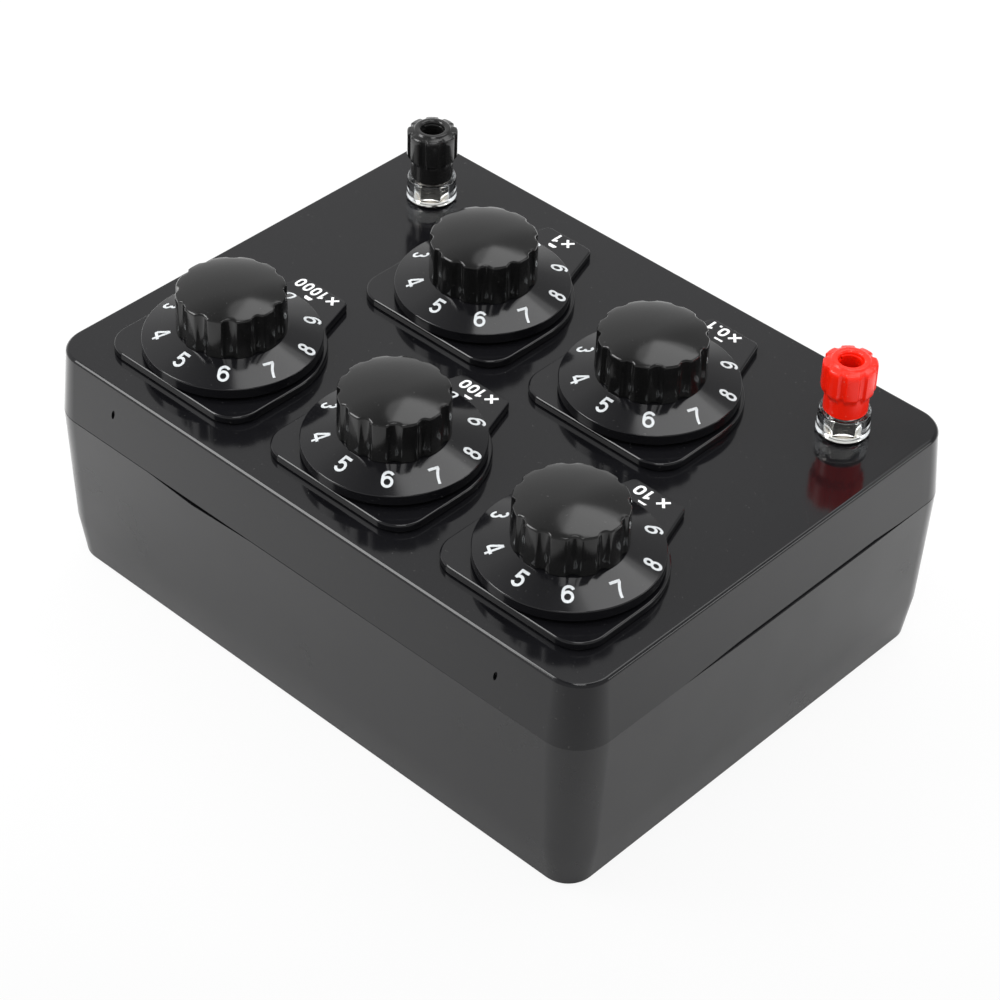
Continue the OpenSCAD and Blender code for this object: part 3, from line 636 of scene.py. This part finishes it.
def make_plate(name, reach):
    """A label plate: its outline drawn as one line, filled, raised and eased round its edges."""
    lean = math.atan((TAB_ROOT - TAB_END) / 2 / (TAB_REACH - TAB_ROOT_Y))
    out, down = Vector((math.cos(lean), -math.sin(lean))), Vector((-math.sin(lean), -math.cos(lean)))
    side = out.dot(Vector((TAB_ROOT / 2, -TAB_ROOT_Y)))
    run = math.sqrt((PLATE_R + TAB_HOLLOW) ** 2 - (side + TAB_HOLLOW) ** 2)
    hollow = out * (side + TAB_HOLLOW) + down * run
    sweep, lean_degrees = math.degrees(math.atan2(-hollow.y, hollow.x)), math.degrees(lean)
    corner_x = (side - TAB_CORNER - math.sin(lean) * (reach - TAB_CORNER)) / math.cos(lean)
    edge = down.dot(Vector((corner_x, TAB_CORNER - reach))) - run
    upright, flat = PLATE_BACK - PLATE_CORNER, 2 * (PLATE_R - PLATE_CORNER)
    plate = draw(name, 0, (PLATE_SET + PLATE_R, 0), 90, [
        (upright,), (PLATE_CORNER, 90), (flat,), (PLATE_CORNER, 90), (upright,), (PLATE_R, sweep),
        (TAB_HOLLOW, lean_degrees - sweep), (edge,), (TAB_CORNER, 90 - lean_degrees), (2 * corner_x,),
        (TAB_CORNER, 90 - lean_degrees), (edge,), (TAB_HOLLOW, lean_degrees - sweep), (PLATE_R, sweep)])
    edit(plate, "EDGE", lambda a, b: True)
    bpy.ops.mesh.edge_face_add()
    bpy.ops.mesh.extrude_region_move(TRANSFORM_OT_translate={"value": (0, 0, PLATE_T * MM)})
    bpy.ops.mesh.select_all(action="SELECT")
    bpy.ops.transform.translate(value=(0, 0, BODY_H * MM))
    bpy.ops.mesh.normals_make_consistent(inside=False)
    done()
    cut(plate, [cylinder("hole", BUSH_HOLE_R, BODY_H - 1, BODY_H + 5)])
    modify(plate, "BEVEL", width=PLATE_EDGE * MM, segments=4, profile=0.42, limit_method="ANGLE",
           angle_limit=math.radians(50))
    smooth(plate)
    return plate


# Dials and numerals

def make_dial():
    """A dial: a thin skirt with a low rim, a sloping face for the numerals and the shaft's hole."""
    slope = DIAL_RISE / (DIAL_R - KNOB_R)
    rim, high, edge = DIAL_Z + RIM_H, DIAL_Z + RIM_H + DIAL_RISE, 0.3
    under = high - DIAL_WALL
    points = [(DIAL_R - DIAL_WALL, DIAL_Z), (DIAL_R - 0.2, DIAL_Z), (DIAL_R, DIAL_Z + 0.2)]
    points += arc(DIAL_R - edge, rim - edge, edge, 0, 72, 4)
    points += [(KNOB_R + 0.15, high - 0.02), (KNOB_R - 0.2, high), (SHAFT_HOLE_R, high),
               (SHAFT_HOLE_R, under), (KNOB_R - 1, under),
               (DIAL_R - DIAL_WALL, under - slope * (DIAL_R - KNOB_R - 0.5))]
    dial = turned("dial", points, 192, closed=True)
    smooth(dial)
    return dial


# How wide and high a numeral is on the dial, as a share of its strokes
DIGIT_SHARE = (0.93, 1.0)
# Strokes of each character, 4.1 high, as (start, heading, path)
STROKES = {
    "0": (((1.1, -0.6), 90, [(1.2,), (1.1, 180), (1.2,), (1.1, 180)]),),
    "1": (((0.45, -2.05), 90, [(4.1,)]), ((0.4, 1.55), 206, [(1.4,)])),
    "2": (((-1.06, 0.88), 75, [(1.1, -215), (2.2,)]), ((-1.4, -1.7), 0, [(2.8,)])),
    "3": (((-0.75, 1.19), 70, [(0.78, -250)]), ((0, 0.14), 0, [(0.92, -250)])),
    "4": (((0.62, -2.05), 90, [(4.1,)]), ((-1.4, -0.95), 0, [(2.85,)]), ((0.42, 1.95), 239, [(3.15,)])),
    "5": (((-0.95, 1.7), 0, [(2.1,)]), ((-0.78, 1.95), 264, [(2.16,)]), ((-0.98, -0.16), 65, [(1.08, -310)])),
    "6": (((1.08, -0.62), 90, [(1.08, 360)]), ((-1.1, -0.62), 90, [(1.1,), (1.2, -148)])),
    "7": (((-1.35, 1.7), 0, [(2.7,)]), ((1.1, 1.55), 231.7, [(7.57, 30)])),
    "8": (((0.77, 0.93), 90, [(0.77, 360)]), ((0.95, -0.75), 90, [(0.95, 360)])),
    "9": (((-1.08, 0.62), 270, [(1.08, 360)]), ((1.1, 0.62), 270, [(1.1,), (1.2, -148)])),
    "x": (((-1.2, -1.3), 47.3, [(3.53,)]), ((1.2, -1.3), 132.7, [(3.53,)])),
    ".": (((0, -0.37), 90, [(0.75,)]),),
}


def glyph(mark, share, weight=STROKE):
    """The printed strokes of one character, flat and centred at the origin, with its top towards +Y."""
    strokes = [draw(f"stroke_{i}", weight, *stroke) for i, stroke in enumerate(STROKES[mark])]
    for stroke in strokes:
        stroke.data.transform(Matrix.Diagonal((*share, 1, 1)))
    return strokes


# A height over the whole box, from which print is laid down on a slope
ABOVE_ALL = 80


def print_layers(strokes, name, under=None):
    """Lays printed strokes down, each a hair above the one that it crosses, and gives them thickness."""
    sheets = []
    for layer in sorted({k for k, _ in strokes}):
        sheet = join([stroke for k, stroke in strokes if k == layer], name)
        if under:
            sheet.data.transform(Matrix.Translation((0, 0, ABOVE_ALL * MM)))
            modify(sheet, "SHRINKWRAP", target=under, wrap_method="PROJECT", use_project_z=True,
                   use_positive_direction=False, use_negative_direction=True)
        sheet.data.transform(Matrix.Translation((0, 0, HAIR * (layer + 1) * MM)))
        sheets.append(sheet)
    ink = join(sheets, name)
    modify(ink, "SOLIDIFY", thickness=INK * MM, offset=1)
    return ink


def make_numerals(dial):
    """The ring of numerals from 0 at the pointer, laid on the dial's slope."""
    strokes = []
    for i in range(10):
        angle = math.radians(RING_TURN - 90 + 36 * i + DIGIT_TURN.get(i, 0))
        place = Vector((RING_X + RING_R * math.cos(angle), RING_Y + RING_R * math.sin(angle), 0))
        place *= min(1.0, RING_LIMIT / place.length)
        at_place = Matrix.Translation(place * MM) @ Matrix.Rotation(angle + math.pi / 2, 4, "Z")
        for layer, stroke in enumerate(glyph(str(i), DIGIT_SHARE)):
            stroke.data.transform(at_place)
            strokes.append((layer, stroke))
    return print_layers(strokes, "numerals", dial)


# Knobs

def make_knob():
    """A fluted knob: a turned form whose flutes cut into its dome, with an eased rim."""
    top = KNOB_Z + KNOB_H
    lean = (KNOB_R - KNOB_TOP_R) / KNOB_H
    points = [(KNOB_R - 0.15, KNOB_Z), (KNOB_R, KNOB_Z + 0.15)]
    points += [(KNOB_R - lean * z, KNOB_Z + z) for z in (2.5, 5.0, 7.4, KNOB_H)]

    def dome(r):
        return CROWN * (1 - (r / KNOB_TOP_R) ** 2)

    points += [(r, top + dome(r)) for r in (10.7, 9.5, 8.2, 6.8, 5.4, 4.0, 2.7, 1.5, 0.6)]
    knob = turned("knob", points, FLUTES * FLUTE_COLUMNS)
    centre = KNOB_R - FLUTE_DEPTH + FLUTE_R

    def share_at(off):
        a = math.radians(off)
        if centre * math.sin(a) >= FLUTE_R:
            return 1.0
        scoop = centre * math.cos(a) - math.sqrt(FLUTE_R ** 2 - (centre * math.sin(a)) ** 2)
        soft = RIDGE_SOFT * math.log(math.exp((KNOB_R - scoop) / RIDGE_SOFT) + 1)
        return 1 - soft / KNOB_R

    shape_columns(knob, FLUTES, FLUTE_COLUMNS, share_at, lambda r, z: r > 11,
                  lambda share: dome(share * KNOB_TOP_R), top)
    edit(knob, "EDGE", lambda a, b: min(a.z, b.z) > top - NEAR and min(a.xy.length, b.xy.length) > 11)
    bpy.ops.mesh.bevel(offset=KNOB_EDGE * MM, segments=5, profile=0.5)
    done()
    turn_about_axis(knob, KNOB_TURN)
    smooth(knob)
    return knob


# Binding posts

def make_cap_thread():
    """The thread in a cap's hole: a zigzag edge carried round and up by one pitch."""
    z0, z1 = CAP_Z + THREAD_FOOT, CAP_Z + CAP_H - THREAD_END
    rows = 2 * round((z1 - z0) / THREAD_PITCH)
    deselect()
    bpy.ops.mesh.primitive_grid_add(x_subdivisions=1, y_subdivisions=rows, size=1)
    piece = bpy.context.object
    piece.name = "cap_thread"
    piece.data.transform(Matrix.Rotation(math.pi / 2, 4, "X"))
    piece.data.transform(Matrix.Translation((0.5, 0, 0)))
    edit(piece, "VERT", lambda p: p.x > 1)
    bpy.ops.mesh.delete(type="VERT")
    done()
    for vertex in piece.data.vertices:
        row = round((vertex.co.z + 0.5) * rows)
        radius = CAP_HOLE + 0.02 - (THREAD_DEPTH if row % 2 else 0)
        height = z0 + (z1 - z0) * row / rows - THREAD_PITCH / 2
        vertex.co = (radius * MM, 0, height * MM)
    modify(piece, "SCREW", axis="Z", steps=64, render_steps=64, screw_offset=THREAD_PITCH * MM,
           use_merge_vertices=True, merge_threshold=1e-7)
    turn_faces(piece, inside=True)
    return piece


def make_cap():
    """A screw cap: a smooth foot, rounded splines that end in slopes, and a threaded hole."""
    top, hole, mouth = CAP_Z + CAP_H, CAP_HOLE, CAP_MOUTH_R
    foot = [(mouth, 0), (CAP_FOOT_R - 0.25, 0), (CAP_FOOT_R, 0.25), (CAP_FOOT_R, 3.9)]
    slope = [(CAP_FOOT_R + 0.05, 4.35), (CAP_R - 0.6, 5.1), (CAP_R - 0.15, 5.7), (CAP_R, 6.3)]
    rim = [(CAP_R, 2.2), (CAP_R - 0.02, 1.1), (CAP_R - 0.2, 0.8), (CAP_R - 0.6, 0.6), (4.5, 0.45),
           (4.3, 0.3), (4.15, 0.08), (3.95, 0), (hole + 0.6, 0), (hole + 0.3, 0.15), (hole, 0.7)]
    points = [(r, CAP_Z + z) for r, z in foot + slope] + [(r, top - z) for r, z in rim]
    points += [(hole, CAP_Z + 0.7), (mouth, CAP_Z + 0.7)]
    cap = turned("cap", points, SPLINES * SPLINE_COLUMNS, closed=True)

    def share_at(off):
        """One at a spline's back, and less in the valley between two."""
        edge = (off - SPLINE_HALF) / SPLINE_SIDE
        fall = min(1.0, max(0.0, edge))
        fall = fall * fall * (3 - 2 * fall)
        return 1 - fall * (1 - CAP_VALLEY_R / CAP_R)

    shape_columns(cap, SPLINES, SPLINE_COLUMNS, share_at,
                  lambda r, z: r > CAP_FOOT_R - 0.35 and z > CAP_Z + 5.0)
    smooth(cap, angle=40.0)
    return cap


def make_collar():
    """The clear collar, which narrows upwards to a rounded lip."""
    low, high = BODY_H + FOOT_WASHER_H + 0.02, BODY_H + COLLAR_H
    points = [(COLLAR_HOLE_R, low), (5.7, low), (5.88, low + 0.06), (5.98, low + 0.2)]
    points += [(r, high - z) for r, z in ((5.78, 0.5), (5.68, 0.15), (5.54, 0.02), (5.34, 0), (5.14, 0.06),
                                          (5.02, 0.25), (4.98, 0.6), (COLLAR_HOLE_R, 0.7))]
    collar = turned("collar", points, 128, closed=True)
    smooth(collar)
    return collar


def make_foot_washer():
    """The thin insulating washer between a collar and the cover."""
    low, high, edge = BODY_H + 0.02, BODY_H + FOOT_WASHER_H, 0.1
    points = [(COLLAR_HOLE_R, low), (FOOT_WASHER_R - edge, low), (FOOT_WASHER_R, low + edge),
              (FOOT_WASHER_R, high - edge), (FOOT_WASHER_R - edge, high), (COLLAR_HOLE_R, high)]
    washer = turned("foot_washer", points, closed=True)
    smooth(washer)
    return washer


def make_stud():
    """The plated stud: flange, hexagon and washer in the collar, and the stud itself with its socket."""
    neck, edge, eased, core = 3.6, 0.1, FLANGE_R - 0.1, 0.4
    points = [(SOCKET_R, SOCKET_FOOT), (SOCKET_R, STUD_TOP), (STUD_R - 0.25, STUD_TOP),
              (STUD_R, STUD_TOP - 0.3), (STUD_R, COLLAR_H), (FLANGE_R - 0.05, COLLAR_H),
              (FLANGE_R, COLLAR_H - edge), (FLANGE_R, 5.2), (eased, 5.1), (neck, 5.0),
              (neck, FLANGE_T + edge), (eased, FLANGE_T), (FLANGE_R, FLANGE_T - edge),
              (FLANGE_R, edge), (eased, 0), (STUD_FOOT_R, 0), (STUD_FOOT_R, STUD_FOOT),
              (core, STUD_FOOT), (core, SOCKET_FOOT)]
    stud = turned("stud", [(r, BODY_H + z) for r, z in points], closed=True)
    smooth(stud)
    nut = cylinder("hexagon", HEXAGON_R, BODY_H + 1.4, BODY_H + 4.9, sides=6)
    modify(nut, "BEVEL", width=0.2 * MM, segments=2, limit_method="ANGLE", angle_limit=math.radians(30))
    turn_about_axis(nut, 10)
    smooth(nut)
    return join([stud, nut], "stud")


# The five decades and the two posts

plate_master = make_plate("plate", TAB_REACH)
front_plate_master = make_plate("front_plate", FRONT_TAB_REACH)
dial_master, knob_master = make_dial(), make_knob()
numeral_master = make_numerals(dial_master)
for decade, (x, y) in DECADES.items():
    control = f"{decade}_control"
    master = plate_master if y > 0 else front_plate_master
    finish_piece(copy(master, f"{decade}_label_plate", x, y), plate_gloss, "case", "plate_plastic",
                 f"{decade}_plate")
    finish_piece(copy(dial_master, f"{decade}_skirt", x, y), dial_gloss, control, "dial_plastic",
                 f"{decade}_dial")
    numerals = copy(numeral_master, f"{decade}_numerals")
    turn_about_axis(numerals, DIAL_TURN[decade])
    numerals.data.transform(Matrix.Translation((x * MM, y * MM, 0)))
    finish_piece(numerals, numeral_print, control, "white_print")
    finish_piece(copy(knob_master, f"{decade}_fluted_knob", x, y), knob_gloss, control, "knob_plastic",
                 f"{decade}_knob")

PLATE_TOP = BODY_H + PLATE_T
for decade, (x, y) in DECADES.items():
    pointer_x, pointer_y, pointer_h, foot, tip = POINTERS[decade]
    pointer = draw("pointer", foot, (pointer_x, pointer_y), 90, [(pointer_h,)])
    edit(pointer, "VERT", lambda p: p.y > pointer_y + pointer_h - NEAR)
    bpy.ops.transform.resize(value=(tip / foot, 1, 1), center_override=(pointer_x * MM, 0, 0))
    done()
    strokes = [(0, pointer)]
    for mark, mark_x, mark_y in LABELS[decade]:
        share, weight = (TIMES_SHARE, TIMES_STROKE) if mark == "x" else (LABEL_SHARE[decade], LABEL_STROKE)
        for layer, stroke in enumerate(glyph(mark, share, weight)):
            stroke.data.transform(Matrix.Translation((mark_x * MM, mark_y * MM, 0)))
            strokes.append((layer, stroke))
    label = print_layers(strokes, f"{decade}_label")
    label.data.transform(Matrix.Translation((x * MM, y * MM, PLATE_TOP * MM)))
    finish_piece(label, white_print, "case", "white_print")

cap_master, thread_master, collar_master = make_cap(), make_cap_thread(), make_collar()
washer_master, stud_master = make_foot_washer(), make_stud()
for post, (x, y) in POSTS.items():
    gloss = {"red": red_gloss, "black": black_gloss}[post]
    screw_cap, plastic = f"{post}_screw_cap", f"{post}_plastic"
    finish_piece(copy(cap_master, f"{post}_splined_cap", x, y), gloss, screw_cap, plastic, f"{post}_cap")
    finish_piece(copy(thread_master, f"{post}_cap_thread", x, y), gloss, screw_cap, plastic)
    finish_piece(copy(collar_master, f"{post}_clear_collar", x, y), clear, "case", "clear_plastic",
                 f"{post}_collar")
    finish_piece(copy(washer_master, f"{post}_insulating_washer", x, y), black_gloss, "case",
                 "black_plastic")
    finish_piece(copy(stud_master, f"{post}_plated_stud", x, y), nickel, "case", "plated_brass",
                 f"{post}_stud")
for master in (plate_master, front_plate_master, dial_master, knob_master, numeral_master, cap_master,
               thread_master, collar_master, washer_master, stud_master):
    bpy.data.objects.remove(master)


# Stage, light and camera

# How much of the floor's paint is pure white to the eye and in glossy skins, and how bright the room
# lights matt skins
FLOOR_GLOW, FLOOR_SHEEN, ROOM = 0.9, 0.1, 1.0
# The room's brightness in glossy skins by height, its share of that on the -X side, and the x of the
# directions between which that side ends
ROOM_BY_HEIGHT = ((0.0, 1.0), (0.25, 0.74), (0.72, 0.74), (0.88, 0.38))
SHADE_SIDE, SHADE_AT = 0.6, (0.31, 0.47)
# The floor's paint, pale behind the box and greyer in front of it as painted shade where less light falls:
# the two tones, the way from the one to the other, and where that starts and ends in metres
FLOOR_PALE, FLOOR_SHADE_GREY, FLOOR_WAY, FLOOR_AT = 0.98, 0.4, (-0.67, 0.74, 0), (-0.06, 0.17)

deselect()
bpy.ops.mesh.primitive_plane_add(size=6, location=(0, 0, 0))
floor = bpy.context.object
floor.name = "floor"
floor_paint_and_shade, tree, shader = nodes_of("floor_paint_and_shade")
shader.inputs["Roughness"].default_value = 0.8
shader.inputs["Specular IOR Level"].default_value = 0.0
place = tree.nodes.new("ShaderNodeTexCoord")
forwards = tree.nodes.new("ShaderNodeVectorMath")
forwards.operation = "DOT_PRODUCT"
forwards.inputs[1].default_value = FLOOR_WAY
tree.links.new(place.outputs["Object"], forwards.inputs[0])
# Painted shade: the floor's colour greys towards the front of the box, standing in for light that falls off
# there
floor_painted_shade = spread(tree, forwards.outputs["Value"], FLOOR_PALE, FLOOR_SHADE_GREY, FLOOR_AT)
tree.links.new(floor_painted_shade, shader.inputs["Base Color"])
rays = tree.nodes.new("ShaderNodeLightPath")
seen = brighter(tree, rays.outputs["Is Camera Ray"], rays.outputs["Is Transmission Ray"])
share = brighter(tree, spread(tree, seen, 0.0, FLOOR_GLOW, (0, 1)),
                 spread(tree, rays.outputs["Is Glossy Ray"], 0.0, FLOOR_SHEEN, (0, 1)))
glow = tree.nodes.new("ShaderNodeEmission")
blend = tree.nodes.new("ShaderNodeMixShader")
tree.links.new(share, blend.inputs[0])
tree.links.new(shader.outputs[0], blend.inputs[1])
tree.links.new(glow.outputs[0], blend.inputs[2])
tree.links.new(blend.outputs[0], tree.nodes["Material Output"].inputs["Surface"])
floor.data.materials.append(floor_paint_and_shade)

world = bpy.data.worlds.new("studio")
bpy.context.scene.world = world
world.use_nodes = True
tree = world.node_tree
sky = tree.nodes["Background"]
rays = tree.nodes.new("ShaderNodeLightPath")
place = tree.nodes.new("ShaderNodeTexCoord")
heading = tree.nodes.new("ShaderNodeSeparateXYZ")
tree.links.new(place.outputs["Generated"], heading.inputs[0])
by_height = tree.nodes.new("ShaderNodeValToRGB")
for i, (height, level) in enumerate(ROOM_BY_HEIGHT):
    stop = by_height.color_ramp.elements[0] if i == 0 else by_height.color_ramp.elements.new(height)
    stop.position, stop.color = height, (level, level, level, 1)
by_height.color_ramp.elements.remove(by_height.color_ramp.elements[-1])
tree.links.new(heading.outputs["Z"], by_height.inputs["Fac"])
by_side = tree.nodes.new("ShaderNodeMath")
by_side.operation = "MULTIPLY"
tree.links.new(by_height.outputs["Color"], by_side.inputs[0])
tree.links.new(spread(tree, heading.outputs["X"], SHADE_SIDE, 1.0, SHADE_AT), by_side.inputs[1])
glossy = tree.nodes.new("ShaderNodeMix")
glossy.inputs["A"].default_value = ROOM
tree.links.new(rays.outputs["Is Glossy Ray"], glossy.inputs["Factor"])
tree.links.new(by_side.outputs[0], glossy.inputs["B"])
white = tree.nodes.new("ShaderNodeMix")
white.inputs["B"].default_value = 1.0
tree.links.new(brighter(tree, rays.outputs["Is Camera Ray"], rays.outputs["Is Transmission Ray"]),
               white.inputs["Factor"])
tree.links.new(glossy.outputs["Result"], white.inputs["A"])
tree.links.new(white.outputs["Result"], sky.inputs["Strength"])
sky.inputs["Color"].default_value = (1, 1, 1, 1)


def softbox(name, shape, towards, distance, size, turn, glow):
    """A lamp of a given brightness, and size in metres, that faces the box from a direction, turned
    in its own plane."""
    towards = Vector(towards).normalized()
    across = Vector((0, 0, 1)).cross(towards).normalized()
    across = Matrix.Rotation(math.radians(turn), 3, towards) @ across
    deselect()
    bpy.ops.object.light_add(type="AREA")
    lamp = bpy.context.object
    lamp.name = name
    lamp.data.shape = shape
    lamp.data.size, lamp.data.size_y = size
    share = math.pi / 4 if shape == "ELLIPSE" else 1
    lamp.data.energy = glow * math.pi * size[0] * size[1] * share
    facing = Matrix((across, towards.cross(across), towards)).transposed().to_4x4()
    lamp.matrix_world = Matrix.Translation(towards * distance) @ facing


# The key light with its softer rim, then smaller lamps for the streaks on the rounded edge over the
# +Y wall, on the one over the -X wall and on the corner between them
KEY_TOWARDS, KEY_TURN = (-0.009, -0.464, 0.886), 22.0
softbox("key_softbox", "RECTANGLE", KEY_TOWARDS, 3.0, (2.12, 1.36), KEY_TURN, 1.35)
softbox("key_halo", "ELLIPSE", KEY_TOWARDS, 3.05, (2.8, 1.85), KEY_TURN, 1.1)
softbox("edge_softbox", "RECTANGLE", (0.52, 0.42, 0.745), 1.2, (0.34, 0.85), 36.0, 6.5)
softbox("side_softbox", "RECTANGLE", (-0.72, -0.585, 0.37), 1.2, (0.3, 0.2), 0.0, 3.4)
softbox("corner_softbox", "RECTANGLE", (-0.24, 0.19, 0.95), 1.2, (0.36, 0.36), 0.0, 4.5)

# The camera, solved from the box's edges, with its focal length in pixels of a frame 1000 wide
YAW, PITCH, ROLL = -47.986, 40.113, -2.078
CAMERA_AT, FOCAL, FRAME, SENSOR = Vector((-353.8, 390.62, 469.92)), 3023.865, 1000, 36.0
yaw, pitch, roll = (math.radians(a) for a in (YAW, PITCH, ROLL))
forward = Vector((math.cos(yaw) * math.cos(pitch), math.sin(yaw) * math.cos(pitch), -math.sin(pitch)))
level_right = Vector((math.sin(yaw), -math.cos(yaw), 0))
level_down = forward.cross(level_right)
right = math.cos(roll) * level_right + math.sin(roll) * level_down
down = -math.sin(roll) * level_right + math.cos(roll) * level_down
deselect()
bpy.ops.object.camera_add()
camera = bpy.context.object
turn = Matrix((right, -down, -forward)).transposed().to_4x4()
camera.matrix_world = Matrix.Translation(CAMERA_AT * MM) @ turn
camera.data.sensor_width = SENSOR
camera.data.lens = FOCAL / FRAME * SENSOR
camera.data.clip_start, camera.data.clip_end = 0.01, 20
bpy.context.scene.camera = camera

bpy.context.scene.view_settings.view_transform = "Standard"
